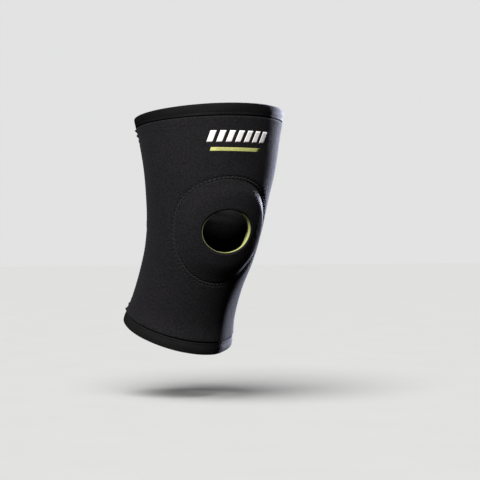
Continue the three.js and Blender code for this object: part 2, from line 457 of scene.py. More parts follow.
RIM_ANGLES = np.linspace(-np.pi, np.pi, RIM_STEPS + 1)
RIM_WALK = walk_along(FIELD_HALF_WIDTH * np.cos(RIM_ANGLES), FIELD_HALF_HEIGHT * np.sin(RIM_ANGLES))
FIELD_STITCHES = 2 * round(RIM_WALK[-1] / FIELD_STITCH_LENGTH / 2)
FIELD_STITCH_PITCH = RIM_WALK[-1] / FIELD_STITCHES


def zigzag(number):
    """Half a width to one side and half to the other, in turn."""
    return np.where(number % 2 == 0, 0.5, -0.5)


def needle_dents(walk, aside):
    """Small dents where the round zigzag line's thread goes into the cloth."""
    number = np.round(walk / FIELD_STITCH_PITCH)
    aside = aside - zigzag(number) * FIELD_STITCH_WIDTH
    return NEEDLE_DENT * bell(np.hypot(walk - number * FIELD_STITCH_PITCH, aside), NEEDLE_DENT_RADIUS)


def field_groove(around, level):
    """The dent that the round stitch line pulls into the cloth."""
    aside = from_rim(around, level)
    angle = field_angle(around, level)
    walk = np.interp(angle, RIM_ANGLES, RIM_WALK)
    channel = FIELD_GROOVE_DEPTH * bell(aside, FIELD_GROOVE_WIDTH)
    dip = CRISP_DIP * crisp_share(angle) * bell(aside - CRISP_DIP_INSET, CRISP_DIP_WIDTH)
    return channel + dip + needle_dents(walk, aside)


def seam_groove(around, level):
    """The shallow dent along the closing seam, with the line where the two cloth edges meet and
    the gathers at its two ends."""
    aside = signed_angle(around - np.radians(SEAM_ANGLE)) * sections_at(level)[..., 0]
    from_hem = from_edge(level) - TAPE_WIDTH
    gather = GATHER_DEPTH * bell(from_hem, GATHER_REACH) * bell(aside, GATHER_WIDTH)
    gather = gather * np.cos(2 * np.pi * from_hem / GATHER_PERIOD)
    gather = gather * smooth_step(from_hem, GATHER_START, GATHER_FULL)
    return SEAM_LINE_DEPTH * bell(aside, SEAM_LINE_WIDTH) + SEAM_DIP * bell(aside, SEAM_WIDTH) + gather


def knee_folds(around, level):
    """Soft folds where the cloth is pressed together behind the bent knee, each with a bulge above."""
    behind = signed_angle(around - np.pi)
    height = 0.0
    for fold in KNEE_FOLDS:
        aside = behind - np.radians(fold["middle"])
        wave = FOLD_WAVE * np.sin(FOLD_WAVE_RATE * aside + fold["level"])
        off_line = level - fold["level"] - fold["slant"] * aside - wave
        form = FOLD_BULGE * bell(off_line - FOLD_BULGE_PLACE, FOLD_BULGE_WIDTH) - bell(off_line, FOLD_WIDTH)
        height = height + fold["depth"] * bell(aside, np.radians(fold["reach"])) * form
    return height


def cloth_face(around, level):
    """Outer face of the cloth, as a distance out from the form."""
    around = signed_angle(around)
    dents = field_groove(around, level) + seam_groove(around, level)
    swell = knee_folds(around, level) + hem_swell(level)
    return pad_lift(around, level) + swell - pinch_depth(level) - dents


def cloth_back(around, level):
    """Inner face of the cloth, as a distance out from the form."""
    around = signed_angle(around)
    return pad_lift(around, level) + knee_folds(around, level) - WALL + pinch_depth(level)


# Meshes
class Shell:
    """Points and faces of one piece, with a map of lengths in millimetres along the cloth."""

    def __init__(self):
        self.points = []
        self.lengths = []
        self.faces = []
        self.count = 0

    def add_points(self, points, lengths):
        points = np.asarray(points).reshape(-1, 3)
        self.points.append(points)
        self.lengths.append(np.asarray(lengths, float).reshape(-1, 2))
        indices = np.arange(self.count, self.count + len(points))
        self.count += len(points)
        return indices

    def add_faces(self, quads, turned=False):
        quads = quads.reshape(-1, 4)
        self.faces.append(quads[:, ::-1] if turned else quads)

    def add_grid(self, grid, turned=False):
        """Adds the faces between the points of a grid of rows and columns."""
        corners = (grid[:-1, :-1], grid[:-1, 1:], grid[1:, 1:], grid[1:, :-1])
        self.add_faces(np.stack(corners, axis=-1), turned)

    def join(self, first, second, turned=False):
        """Joins two closed rows of as many points with a strip of faces."""
        self.add_faces(np.stack([first, np.roll(first, -1), np.roll(second, -1), second], axis=-1), turned)

    def join_round(self, rings, turned=False):
        """Joins each ring to the next one, and the last to the first."""
        for first, second in zip(rings, rings[1:] + rings[:1]):
            self.join(first, second, turned)

    def to_object(self, name, material):
        mesh = bpy.data.meshes.new(name)
        mesh.from_pydata(np.concatenate(self.points), [], np.concatenate(self.faces))
        mesh.validate()
        corner_points = np.zeros(len(mesh.loops), np.int32)
        mesh.loops.foreach_get("vertex_index", corner_points)
        run = mesh.uv_layers.new(name="run")
        lengths = np.concatenate(self.lengths)[corner_points]
        run.data.foreach_set("uv", lengths.astype(np.float32).ravel())
        mesh.polygons.foreach_set("use_smooth", np.ones(len(mesh.polygons), bool))
        mesh.materials.append(material)
        made = bpy.data.objects.new(name, mesh)
        bpy.context.scene.collection.objects.link(made)
        return made


def even_steps(start, end, count):
    """Even steps from start towards end, without the end."""
    return start + (end - start) * np.arange(count) / count


FLAT_SHARE = 1 - PAD_SHOULDER / FIELD_HALF_WIDTH
PATCH_ANGLE = (FIELD_HALF_WIDTH + FIELD_MARGIN) / KNEE_RADIUS
PATCH_HEIGHT = FIELD_HALF_HEIGHT + FIELD_MARGIN
PINCH_REACH = TAPE_WIDTH + PINCH_SLOPE
AROUND_LINES = np.concatenate([
    even_steps(-PATCH_ANGLE, PATCH_ANGLE, FRONT_STEPS),
    even_steps(PATCH_ANGLE, 2 * np.pi - PATCH_ANGLE, BACK_STEPS),
])


def level_lines():
    """Levels of the mesh's rows, closer together under the tapes, near them and over the field."""
    plain = HEIGHT_ABOVE_KNEE - PINCH_REACH - PATCH_HEIGHT
    from_edges = np.concatenate([
        even_steps(0, TAPE_WIDTH, TAPE_ROWS),
        even_steps(TAPE_WIDTH, PINCH_REACH, PINCH_ROWS),
        PINCH_REACH + plain * (np.arange(EDGE_ROWS) / EDGE_ROWS) ** ROW_GROWTH,
    ])
    field = np.linspace(-PATCH_HEIGHT, PATCH_HEIGHT, FIELD_ROWS + 1)
    return np.concatenate([from_edges - HEIGHT_BELOW_KNEE, field, HEIGHT_ABOVE_KNEE - from_edges[::-1]])


LEVEL_LINES = level_lines()
FIRST_PATCH_ROW = TAPE_ROWS + PINCH_ROWS + EDGE_ROWS
LAST_PATCH_ROW = FIRST_PATCH_ROW + FIELD_ROWS


def patch_border():
    """Columns and rows of the patch's border, from its lower left corner and on to the right."""
    low = [(step, FIRST_PATCH_ROW) for step in range(FRONT_STEPS)]
    right = [(FRONT_STEPS, FIRST_PATCH_ROW + step) for step in range(FIELD_ROWS)]
    high = [(FRONT_STEPS - step, LAST_PATCH_ROW) for step in range(FRONT_STEPS)]
    left = [(0, LAST_PATCH_ROW - step) for step in range(FIELD_ROWS)]
    return np.array(low + right + high + left)


BORDER = patch_border()
BORDER_PLACES = np.stack([AROUND_LINES[BORDER[:, 0]], LEVEL_LINES[BORDER[:, 1]]], axis=-1)
RING_ANGLES = field_angle(*BORDER_PLACES.T)


def oval_places(half_width, half_height, angles=RING_ANGLES):
    return np.stack([half_width * np.cos(angles) / KNEE_RADIUS, half_height * np.sin(angles)], axis=-1)


def field_oval(share, angles=RING_ANGLES):
    """Places on an oval that is a share of the field's size."""
    return oval_places(share * FIELD_HALF_WIDTH, share * FIELD_HALF_HEIGHT, angles)


def field_rings():
    """Rings of places from just inside the patch's border to the edge of the kneecap hole."""
    rim = field_oval(1)
    flat = field_oval(FLAT_SHARE)
    hole = oval_places(HOLE_HALF_WIDTH, HOLE_HALF_HEIGHT)
    outside = 1 - (1 - even_steps(0, 1, OUTER_FIELD_RINGS)[1:]) ** RING_CROWDING
    rings = [BORDER_PLACES + (rim - BORDER_PLACES) * share for share in outside]
    rings += [field_oval(share) for share in even_steps(1, FLAT_SHARE, SHOULDER_RINGS)]
    return rings + [flat + (hole - flat) * share for share in np.linspace(0, 1, PAD_TOP_RINGS + 1)]


FIELD_RINGS = field_rings()


def add_cloth_face(shell, outward, turned):
    """Adds one face of the cloth and returns its upper and lower edge and its hole's edge."""
    around, level = np.meshgrid(AROUND_LINES, LEVEL_LINES)
    columns, rows = np.meshgrid(np.arange(len(AROUND_LINES)), np.arange(len(LEVEL_LINES)))
    inside = (columns > 0) & (columns < FRONT_STEPS)
    inside &= (rows > FIRST_PATCH_ROW) & (rows < LAST_PATCH_ROW)
    kept = ~inside
    lengths = np.stack([around * KNEE_RADIUS, level], axis=-1)[kept]
    grid = np.full(around.shape, -1)
    grid[kept] = shell.add_points(surface_points(around, level, outward(around, level))[kept], lengths)
    next_column = np.roll(grid, -1, axis=1)
    quads = np.stack([grid[:-1], next_column[:-1], next_column[1:], grid[1:]], axis=-1)
    in_patch = (columns < FRONT_STEPS) & (rows >= FIRST_PATCH_ROW) & (rows < LAST_PATCH_ROW)
    shell.add_faces(quads[~in_patch[:-1]], turned)
    last = grid[BORDER[:, 1], BORDER[:, 0]]
    for ring in FIELD_RINGS:
        points = surface_points(*ring.T, outward(*ring.T))
        added = shell.add_points(points, ring * (KNEE_RADIUS, 1))
        shell.join(last, added, turned)
        last = added
    return grid[-1], grid[0], last


def make_sleeve(material):
    """The neoprene tube: knitted outer face, inner face, and the cut edges between them."""
    shell = Shell()
    upper_face, lower_face, hole_face = add_cloth_face(shell, cloth_face, False)
    upper_back, lower_back, hole_back = add_cloth_face(shell, cloth_back, True)
    shell.join(upper_face, upper_back)
    shell.join(lower_back, lower_face)
    shell.join(hole_face, hole_back)
    return shell.to_object("sleeve_cloth", material)


# Pad under the field
def lip_height(angles):
    """Height of the pad's lip over the cloth. Its upper part stays down under the cloth."""
    upper = smooth_step(np.sin(angles), LIP_SINK_FROM, LIP_UNDER)
    return LIP_SINK + (LIP_SINK_ABOVE - LIP_SINK) * upper


def lip_tuck(angles):
    """How far the lip draws back from the hole where it stays under the cloth."""
    return LIP_TUCK * smooth_step(np.sin(angles), LIP_TUCK_FROM, LIP_UNDER)


def lip_lean(angles):
    """How far the lip's wall leans in over the hole at its foot, most on the upper inner side."""
    facing = np.cos(angles - np.radians(LIP_LEAN_ANGLE))
    return LIP_LEAN * smooth_step(facing, LIP_LEAN_FROM, LIP_LEAN_FULL)


def pad_face(around, level):
    return cloth_back(around, level) - CLEARANCE


def pad_back(around, level):
    shoulder = smooth_step(from_rim(around, level), 0, PAD_SHOULDER)
    thickness = PAD_RIM_THICKNESS + (PAD_SINK - PAD_RIM_THICKNESS) * shoulder
    return -WALL - CLEARANCE - thickness


def over_cloth(height):
    """A face at a height over the cloth's outer face."""
    return lambda around, level: cloth_face(around, level) + height


def between(first, second, share):
    """A face that lies between two faces, at a share of the way from the first to the second."""
    return lambda around, level: first(around, level) * (1 - share) + second(around, level) * share


def steps_to(first, second, count):
    """Even steps from first to second, without the first."""
    return [first + (second - first) * t for t in np.linspace(0, 1, count)[1:]]


def pad_rows(angles):
    """The pad's section: rows of half width and half height, and the face that each row lies on."""
    field = np.array([[FIELD_HALF_WIDTH], [FIELD_HALF_HEIGHT]])
    hole = np.array([[HOLE_HALF_WIDTH], [HOLE_HALF_HEIGHT]])
    flat = field * FLAT_SHARE
    rim = field * (1 - PAD_RIM_INSET / FIELD_HALF_WIDTH)
    outer_side = hole - CLEARANCE + lip_tuck(angles)
    inner_side = outer_side - LIP_THIN
    wall_foot = inner_side - lip_lean(angles)
    back_foot = wall_foot + BACK_SLOPE
    rounding = LIP_THIN / 2
    lip_top = lip_height(angles) - rounding
    top = over_cloth(lip_top)
    foot = over_cloth(-LIP_WALL)
    shoulder = [rim] + steps_to(rim, flat, PAD_SHOULDER_ROWS)
    rows = [(half, pad_face) for half in shoulder + steps_to(flat, outer_side, PAD_FLAT_ROWS)]
    for t in np.linspace(0, 1, LIP_SIDE_ROWS)[1:]:
        rows.append((outer_side, between(pad_face, top, t)))
    for turn in np.linspace(0, np.pi, LIP_TOP_ROWS)[1:-1]:
        half = (outer_side + inner_side) / 2 + rounding * math.cos(turn)
        rows.append((half, over_cloth(lip_top + rounding * math.sin(turn))))
    for t in np.linspace(0, 1, LIP_WALL_ROWS):
        rows.append((inner_side + (wall_foot - inner_side) * t, between(top, foot, t)))
    for t in np.linspace(0, 1, PAD_FLAT_ROWS)[1:]:
        rows.append((wall_foot + BACK_SLOPE * t, between(pad_back, foot, (1 - t) ** BACK_CURVE)))
    back = steps_to(back_foot, flat, PAD_FLAT_ROWS) + steps_to(flat, rim, PAD_SHOULDER_ROWS)
    return rows + [(half, pad_back) for half in back]


def make_pad(material):
    """The foam ring under the cloth, with the lip that lines the kneecap hole."""
    shell = Shell()
    angles = np.linspace(-np.pi, np.pi, PAD_STEPS, endpoint=False)
    rings = []
    for row, (half, outward) in enumerate(pad_rows(angles)):
        around, level = oval_places(*half, angles).T
        lengths = np.stack([angles * KNEE_RADIUS, np.full(PAD_STEPS, row)], axis=-1)
        rings.append(shell.add_points(surface_points(around, level, outward(around, level)), lengths))
    shell.join_round(rings)
    return shell.to_object("pad_foam", material)


# Edge tape
def tape_section():
    """The folded tape's section: distance down from the cloth's edge and distance out."""
    outer = CLEARANCE - TAPE_PINCH + TAPE_THICKNESS
    inner = TAPE_PINCH - WALL - CLEARANCE - TAPE_THICKNESS
    middle = (outer + inner) / 2
    half = (outer - inner) / 2
    fold = TAPE_CORNER - CLEARANCE - TAPE_THICKNESS
    stitch_row = TAPE_WIDTH - TAPE_STITCH_INSET
    rows = [(TAPE_WIDTH - inset, outer - drop) for inset, drop in TAPE_RIM]
    for down in np.linspace(TAPE_WIDTH - TAPE_RIM_INSET, fold, TAPE_FACE_ROWS):
        crown = TAPE_CROWN * math.sin(math.pi * np.clip(down / stitch_row, 0, 1))
        rows.append((down, outer + crown - TAPE_GROOVE * bell(down - stitch_row, TAPE_GROOVE_WIDTH)))
    for turn in np.linspace(0, np.pi, TAPE_FOLD_ROWS)[1:-1]:
        side = math.copysign(abs(math.cos(turn)) ** TAPE_SQUARENESS, math.cos(turn))
        top = abs(math.sin(turn)) ** TAPE_SQUARENESS
        rows.append((fold - TAPE_CORNER * top, middle + half * side))
    for down in np.linspace(fold, TAPE_WIDTH - TAPE_RIM_INSET, TAPE_BACK_ROWS):
        rows.append((down, inner))
    rows += [(TAPE_WIDTH - inset, inner + drop) for inset, drop in reversed(TAPE_RIM)]
    hollow = [TAPE_WIDTH, TAPE_WIDTH / 2, -CLEARANCE]
    rows += [(down, inner + TAPE_THICKNESS) for down in hollow]
    rows += [(down, outer - TAPE_THICKNESS) for down in reversed(hollow)]
    return np.array(rows)


def tape_edge(upper):
    """Level of the cloth's edge, the way down from it, the leg's radius and the stitches round it."""
    edge, downwards = (HEIGHT_ABOVE_KNEE, -1) if upper else (-HEIGHT_BELOW_KNEE, 1)
    radius = sections_at(np.array(edge))[0]
    return edge, downwards, radius, round(2 * np.pi * radius / TAPE_STITCH_LENGTH)


def make_tape(name, upper, material):
    """One folded edge tape with its stitch channel, along the upper or the lower edge."""
    shell = Shell()
    edge, downwards, radius, stitches = tape_edge(upper)
    around = np.linspace(-np.pi, np.pi, TAPE_STEPS, endpoint=False)
    section = tape_section()
    rings = []
    for (down, outward), walk in zip(section, walk_along(*section.T)):
        if outward > TAPE_FACE_FLOOR and walk < TAPE_FACE_LENGTH:
            near_stitch = bell(down - TAPE_WIDTH + TAPE_STITCH_INSET, TAPE_PUCKER_WIDTH)
            outward = outward + TAPE_PUCKER * near_stitch * np.cos(around * stitches)
            for wave in TAPE_WAVES:
                turn = around * wave["count"] + wave["phase"] + wave["slant"] * down
                outward = outward + TAPE_WAVE * wave["share"] * np.sin(turn)
        lengths = np.stack([around * radius, np.full(TAPE_STEPS, walk)], axis=-1)
        rings.append(shell.add_points(surface_points(around, edge + downwards * down, outward), lengths))
    shell.join_round(rings, turned=not upper)
    return shell.to_object(name, material)


# Threads
def unit(vectors):
    return vectors / np.linalg.norm(vectors, axis=-1, keepdims=True)


def add_stitches(shell, starts, ends, face, radius, rise):
    """Adds one bent thread from each start to each end, places on the cloth, its ends inside the cloth."""
    t = np.linspace(0, 1, STITCH_RINGS)
    places = starts[:, None, :] + (ends - starts)[:, None, :] * t[None, :, None]
    around, level = places[..., 0], places[..., 1]
    bow = 1 - (2 * t - 1) ** 4
    height = face(around, level) + (rise + 2 * radius) * bow - 2 * radius
    centres = surface_points(around, level, height)
    out = unit(surface_points(around, level, height + 1.0) - centres)
    forward = unit(np.gradient(centres, axis=1))
    side = unit(np.cross(forward, out))
    lift = np.cross(side, forward)
    turn = 2 * np.pi * np.arange(THREAD_SIDES) / THREAD_SIDES
    thickness = MM * radius * (THREAD_TIP + (1 - THREAD_TIP) * bow)[None, :, None, None]
    rings = centres[:, :, None, :] + thickness * (
        side[:, :, None, :] * np.cos(turn)[None, None, :, None]
        + lift[:, :, None, :] * np.sin(turn)[None, None, :, None])
    run = np.linalg.norm((ends - starts) * (KNEE_RADIUS, 1), axis=-1)
    lengths = np.stack(np.broadcast_arrays(
        (run[:, None] * t[None, :])[:, :, None], turn[None, None, :] * radius), axis=-1)
    indices = shell.add_points(rings, lengths).reshape(len(starts), STITCH_RINGS, THREAD_SIDES)
    onward = np.roll(indices, -1, axis=2)
    shell.add_faces(
        np.stack([indices[:, :-1], onward[:, :-1], onward[:, 1:], indices[:, 1:]], axis=-1), turned=True)
    for ring, order in ((0, [0, 1, 2, 3]), (0, [0, 3, 4, 5]), (-1, [3, 2, 1, 0]), (-1, [5, 4, 3, 0])):
        shell.add_faces(indices[:, ring][:, order])


def make_field_thread(material):
    """The round zigzag line, one stitch after another round the pad's rim."""
    shell = Shell()
    step = np.arange(FIELD_STITCHES)
    angle = np.interp(step * FIELD_STITCH_PITCH, RIM_WALK, RIM_ANGLES)
    places = field_oval(1 - zigzag(step) * FIELD_STITCH_WIDTH / FIELD_HALF_WIDTH, angle)
    add_stitches(shell, places, np.roll(places, -1, axis=0), cloth_face, FIELD_THREAD, FIELD_THREAD_RISE)
    return shell.to_object("field_stitching", material)


def make_seam_thread(material):
    """The crossed threads that hold the cloth's two edges together behind the leg's outer side."""
    shell = Shell()
    inset = TAPE_WIDTH + SEAM_END_GAP
    count = int((HEIGHT_ABOVE_KNEE + HEIGHT_BELOW_KNEE - 2 * inset) / SEAM_STITCH_LENGTH)
    level = inset - HEIGHT_BELOW_KNEE + SEAM_STITCH_LENGTH * np.arange(count)
    aside = zigzag(np.arange(count)) * SEAM_WIDTH / sections_at(level)[:, 0]
    for side, rise in zip((1, -1), SEAM_THREAD_RISES):
        places = np.stack([np.radians(SEAM_ANGLE) + side * aside, level], axis=-1)
        add_stitches(shell, places[:-1], places[1:], cloth_face, SEAM_THREAD, rise)
    return shell.to_object("closing_seam_stitching", material)


def tape_face(around, level):
    return np.full(np.shape(around), CLEARANCE - TAPE_PINCH + TAPE_THICKNESS - TAPE_GROOVE)


def make_tape_thread(name, upper, material):
    """The straight stitch row in the tape's channel."""
    shell = Shell()
    edge, downwards, _, count = tape_edge(upper)
    level = np.full(count, edge + downwards * (TAPE_WIDTH - TAPE_STITCH_INSET))
    starts, ends = (
        np.stack([2 * np.pi * (np.arange(count) + share) / count - np.pi, level], axis=-1)
        for share in (TAPE_STITCH_GAP, 1 - TAPE_STITCH_GAP))
    add_stitches(shell, starts, ends, tape_face, TAPE_THREAD, TAPE_THREAD_RISE)
    return shell.to_object(name, material)


# Print on the thigh
def add_patch(shell, corners):
    """Adds a thin raised patch between four places, given as lengths around the leg and up it."""
    steps = np.linspace(0, 1, PATCH_STEPS)
    low_left, low_right, high_right, high_left = np.array(corners, float)
    low = low_left + (low_right - low_left) * steps[None, :, None]
    high = high_left + (high_right - high_left) * steps[None, :, None]
    lengths = low + (high - low) * steps[:, None, None]
    around, level = lengths[..., 0] / KNEE_RADIUS, lengths[..., 1]
    borders = []
    for height, turned in ((PRINT_HEIGHT, False), (-PRINT_HEIGHT, True)):
        points = surface_points(around, level, cloth_face(around, level) + height)
        grid = shell.add_points(points, lengths).reshape(PATCH_STEPS, PATCH_STEPS)
        shell.add_grid(grid, turned)
        borders.append(np.concatenate([grid[0, :-1], grid[:-1, -1], grid[-1, :0:-1], grid[:0:-1, 0]]))
    shell.join(borders[1], borders[0])


def make_print(name, patches, material):
    shell = Shell()
    for corners in patches:
        add_patch(shell, corners)
    return shell.to_object(name, material)


def slanted_bars():
    """Slanted bars side by side: a plain generic mark without letters."""
    bars = []
    for number in range(BAR_COUNT):
        left = BAR_START + number * (BAR_WIDTH + BAR_GAP)
        bars.append((
            (left, BAR_LOW), (left + BAR_WIDTH, BAR_LOW),
            (left + BAR_WIDTH + BAR_SLANT, BAR_HIGH), (left + BAR_SLANT, BAR_HIGH)))
    return bars


# Colours and materials
def linear(hex_colour):
    """An sRGB hex colour as linear red, green, blue and alpha."""
    channels = [int(hex_colour[i:i + 2], 16) / 255 for i in (1, 3, 5)]
    return tuple(c / 12.92 if c <= 0.04045 else ((c + 0.055) / 1.055) ** 2.4 for c in channels) + (1.0,)


def add_node(tree, kind, inputs=None, **settings):
    """Adds a node with its settings, and links or sets its inputs."""
    node = tree.nodes.new(kind)
    for name, value in settings.items():
        setattr(node, name, value)
    for name, value in (inputs or {}).items():
        if isinstance(value, bpy.types.NodeSocket):
            tree.links.new(value, node.inputs[name])
        else:
            node.inputs[name].default_value = value
    return node


def new_material(name):
    """A material without nodes, and its node tree."""
    material = bpy.data.materials.new(name)
    material.use_nodes = True
    material.node_tree.nodes.clear()
    return material, material.node_tree


def finish_material(material, inputs):
    """Adds the surface shader with these inputs, and the output."""
    tree = material.node_tree
    shader = add_node(tree, "ShaderNodeBsdfPrincipled", inputs)
    add_node(tree, "ShaderNodeOutputMaterial", {"Surface": shader.outputs["BSDF"]})
    return material


def pattern_scale(size):
    """Scale of a noise or cell pattern whose coordinates are in metres, from its size in millimetres."""
    return 1 / (MM * size)


def shoulder_stretch_and_highlight(tree, run):
    """From 0 to 1, how far the cloth is drawn taut over the crisp shoulder of the pad. The same mask places
    the painted highlight there.
    """
    on_field = add_node(tree, "ShaderNodeVectorMath", {
        0: run, 1: (1 / FIELD_HALF_WIDTH, 1 / FIELD_HALF_HEIGHT, 0)},
        operation="MULTIPLY").outputs["Vector"]
    reach = add_node(tree, "ShaderNodeVectorMath", {0: on_field}, operation="LENGTH").outputs["Value"]
    way = add_node(tree, "ShaderNodeVectorMath", {0: on_field}, operation="NORMALIZE").outputs["Vector"]
    crisp = math.radians(CRISP_ANGLE)
    facing = add_node(tree, "ShaderNodeVectorMath", {
        0: way, 1: (math.cos(crisp), math.sin(crisp), 0)}, operation="DOT_PRODUCT").outputs["Value"]
    bounds = [(facing, *STRETCH_HIGHLIGHT_SIDE)]
    for insets in (STRETCH_HIGHLIGHT_TOP, STRETCH_HIGHLIGHT_FOOT):
        bounds.append((reach, *(1 - inset / FIELD_HALF_WIDTH for inset in insets)))
    stretch_and_highlight = 1.0
    for measure, start, full in bounds:
        share = add_node(tree, "ShaderNodeMapRange", {
            "Value": measure, "From Min": start, "From Max": full}, interpolation_type="SMOOTHSTEP")
        stretch_and_highlight = add_node(tree, "ShaderNodeMath", {
            0: share.outputs["Result"], 1: stretch_and_highlight}, operation="MULTIPLY").outputs["Value"]
    return stretch_and_highlight


def knitted_neoprene():
    """Foam rubber faced with a fine nylon jersey, dyed black. To the eye: matt black with a fine mottled
    grain and faint darker ribs, and a little shinier where it is drawn taut over the pad's shoulder. Its
    colour there is also made paler, as a painted highlight."""
    material, tree = new_material("nylon_jersey_on_neoprene")
    run = add_node(tree, "ShaderNodeUVMap", uv_map="run").outputs["UV"]
    place = add_node(tree, "ShaderNodeTexCoord").outputs["Object"]
    # Wales of the jersey are 0.6 mm apart. They are drawn 1.9 mm apart to show in the render.
    wales = add_node(tree, "ShaderNodeTexWave", {
        "Vector": run, "Scale": WAVE_UNIT / JERSEY_WALE, "Distortion": 3.0, "Detail": 2.0,
        "Detail Scale": 1.5}, bands_direction="X")
    # Courses are 0.45 mm apart, drawn 1.5 mm apart.
    courses = add_node(tree, "ShaderNodeTexWave", {
        "Vector": run, "Scale": WAVE_UNIT / JERSEY_COURSE, "Distortion": 3.5, "Detail": 2.0,
        "Detail Scale": 1.5}, bands_direction="Y")
    loops = add_node(tree, "ShaderNodeMath", {
        0: wales.outputs["Fac"], 1: courses.outputs["Fac"]}, operation="MULTIPLY")
    # Fibre ends and lint, about 1 mm to 2 mm.
    grain = add_node(tree, "ShaderNodeTexNoise", {
        "Vector": place, "Scale": pattern_scale(JERSEY_GRAIN), "Detail": 3.0, "Roughness": 0.7})
    # Slow unevenness of the dye and the stretch.
    patches = add_node(tree, "ShaderNodeTexNoise", {
        "Vector": place, "Scale": pattern_scale(JERSEY_PATCH), "Detail": 2.0, "Roughness": 0.5})
    mottle = add_node(tree, "ShaderNodeMapRange", {
        "Value": grain.outputs["Fac"], "From Min": 0.40, "From Max": 0.61})
    base = add_node(tree, "ShaderNodeMix", {
        0: mottle.outputs["Result"], 6: linear(JERSEY[0]), 7: linear(JERSEY[1])}, data_type="RGBA")
    rib = add_node(tree, "ShaderNodeMath", {0: loops.outputs["Value"], 1: RIB_SHARE}, operation="MULTIPLY")
    shaded = add_node(tree, "ShaderNodeMix", {
        0: rib.outputs["Value"], 6: base.outputs[2], 7: linear(JERSEY_RIB)}, data_type="RGBA")
    fade = add_node(tree, "ShaderNodeMath", {
        0: patches.outputs["Fac"], 1: DYE_FADE_SHARE}, operation="MULTIPLY")
    dyed = add_node(tree, "ShaderNodeMix", {
        0: fade.outputs["Value"], 6: shaded.outputs[2], 7: linear(JERSEY[0])}, data_type="RGBA")
    # Drawn taut over the crisp shoulder of the pad, the knit is smoother there. Its colour there is also
    # made paler, as a painted highlight.
    stretch_and_highlight = shoulder_stretch_and_highlight(tree, run)
    painted_highlight = add_node(tree, "ShaderNodeMix", {
        0: stretch_and_highlight, 6: dyed.outputs[2], 7: linear(JERSEY_STRETCHED_HIGHLIGHT)}, data_type="RGBA")
    matt = add_node(tree, "ShaderNodeMapRange", {
        "Value": grain.outputs["Fac"], "From Min": 0.3, "From Max": 0.7, "To Min": 0.78, "To Max": 0.95})
    rough = add_node(tree, "ShaderNodeMath", {
        0: stretch_and_highlight, 1: STRETCH_SMOOTHING, 2: matt.outputs["Result"]}, operation="MULTIPLY_ADD")
    heights = add_node(tree, "ShaderNodeMath", {
        0: loops.outputs["Value"], 1: LOOP_RELIEF, 2: grain.outputs["Fac"]}, operation="MULTIPLY_ADD")
    bump = add_node(tree, "ShaderNodeBump", {
        "Strength": 0.8, "Distance": 0.0006, "Height": heights.outputs["Value"]})
    return finish_material(material, {
        "Base Color": painted_highlight.outputs[2], "Roughness": rough.outputs["Value"], "IOR": 1.45,
        "Specular IOR Level": 0.12, "Sheen Weight": 0.03, "Sheen Roughness": 0.45,
        "Sheen Tint": linear(JERSEY_SHEEN), "Normal": bump.outputs["Normal"]})


def lime_foam():
    """Closed-cell foam, moulded in lime. To the eye: matt, with fine darker pores and paler patches, and a
    darker olive grey on top of the lip."""
    material, tree = new_material("lime_closed_cell_foam")
    place = add_node(tree, "ShaderNodeTexCoord").outputs["Object"]
    # Pores are 0.4 mm across, drawn 1.1 mm across.
    pores = add_node(tree, "ShaderNodeTexVoronoi", {"Vector": place, "Scale": pattern_scale(FOAM_PORE)})
    patches = add_node(tree, "ShaderNodeTexNoise", {
        "Vector": place, "Scale": pattern_scale(FOAM_PATCH), "Detail": 3.0, "Roughness": 0.6})
    skin = add_node(tree, "ShaderNodeMix", {
        0: patches.outputs["Fac"], 6: linear(LIME_FOAM[0]), 7: linear(LIME_FOAM[1])}, data_type="RGBA")
    pit = add_node(tree, "ShaderNodeMapRange", {
        "Value": pores.outputs["Distance"], "From Max": 0.35, "To Min": 0.35, "To Max": 0.0})
    pitted = add_node(tree, "ShaderNodeMix", {
        0: pit.outputs["Result"], 6: skin.outputs[2], 7: linear(LIME_PORE)}, data_type="RGBA")
    # The top of the lip is a darker olive grey.
    rows = add_node(tree, "ShaderNodeUVMap", uv_map="run").outputs["UV"]
    row = add_node(tree, "ShaderNodeSeparateXYZ", {"Vector": rows}).outputs["Y"]
    darker_top = add_node(tree, "ShaderNodeMapRange", {
        "Value": row, "From Min": DARK_TOP_FROM, "From Max": DARK_TOP_TO, "To Min": 0.85, "To Max": 0.0})
    coloured = add_node(tree, "ShaderNodeMix", {
        0: darker_top.outputs["Result"], 6: pitted.outputs[2], 7: linear(LIP_OLIVE)}, data_type="RGBA")
    rough = add_node(tree, "ShaderNodeMapRange", {
        "Value": patches.outputs["Fac"], "From Min": 0.3, "From Max": 0.7, "To Min": 0.62, "To Max": 0.82})
    bump = add_node(tree, "ShaderNodeBump", {
        "Strength": 0.5, "Distance": 0.0003, "Height": pores.outputs["Distance"]})
    return finish_material(material, {
        "Base Color": coloured.outputs[2], "Roughness": rough.outputs["Result"], "IOR": 1.5,
        "Specular IOR Level": 0.35, "Normal": bump.outputs["Normal"]})


